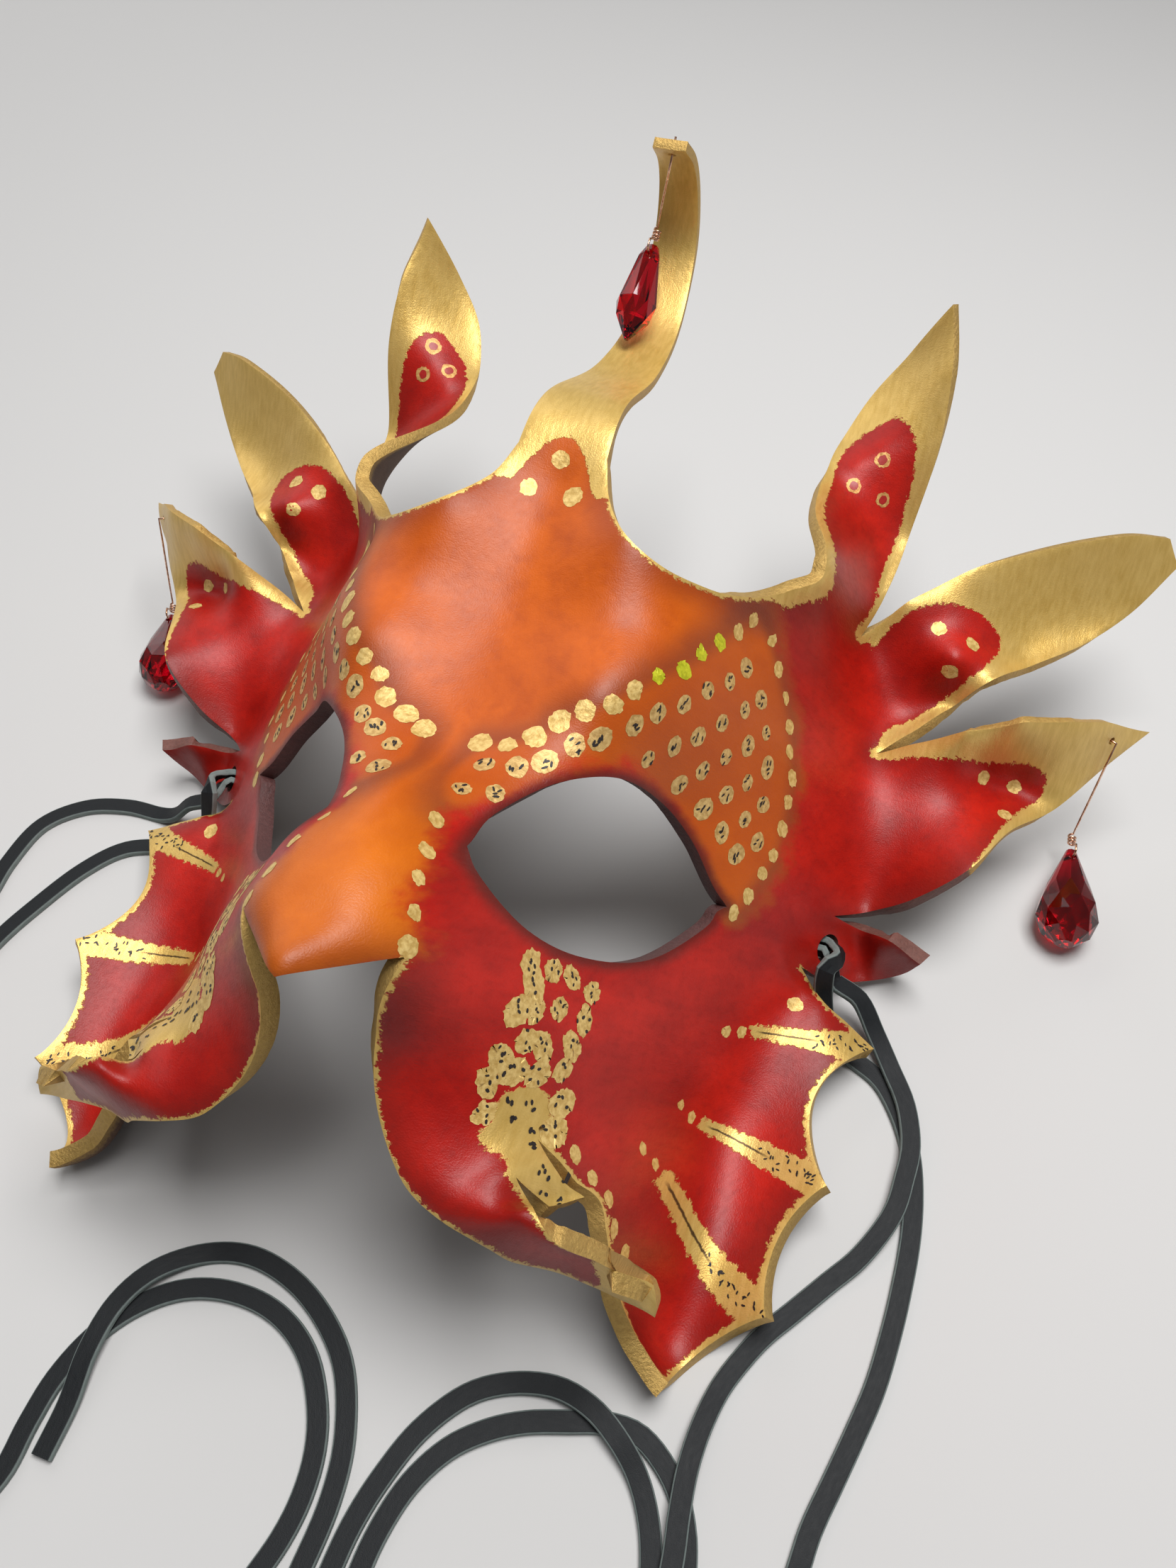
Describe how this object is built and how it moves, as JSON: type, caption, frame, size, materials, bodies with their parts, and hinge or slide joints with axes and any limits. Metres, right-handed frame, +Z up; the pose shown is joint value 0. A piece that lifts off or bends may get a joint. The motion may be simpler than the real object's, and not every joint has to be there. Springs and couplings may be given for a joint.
{
  "type": "masquerade mask",
  "caption": "Wet-formed leather half mask of a horned dragon with ears, cheek fins and a forehead blade, three ruby glass drops and two tie laces.",
  "frame": {"origin": "middle of the lying mask's footprint on the table, without its laces", "axes": "+X to the viewer's right across the face, +Y up the face from the cheeks to the horns, +Z up from the table, out of the face as it lies"},
  "size_m": [0.258, 0.3007, 0.12],
  "materials": {
    "painted_hide": "dyed red and orange with gold paint, waxed",
    "ruby_glass": "polished and faceted",
    "copper_wire": "bright copper",
    "black_lace": "matt, with paler cut edges"
  },
  "bodies": {
    "root": {"mask": "painted_hide", "blade_drop": "ruby_glass", "left_ear_drop": "ruby_glass", "right_ear_drop": "ruby_glass", "blade_wire": "copper_wire", "left_ear_wire": "copper_wire", "right_ear_wire": "copper_wire", "left_lace_inner": "black_lace", "left_lace_outer": "black_lace", "right_lace_inner": "black_lace", "right_lace_outer": "black_lace"}
  },
  "joints": []
}
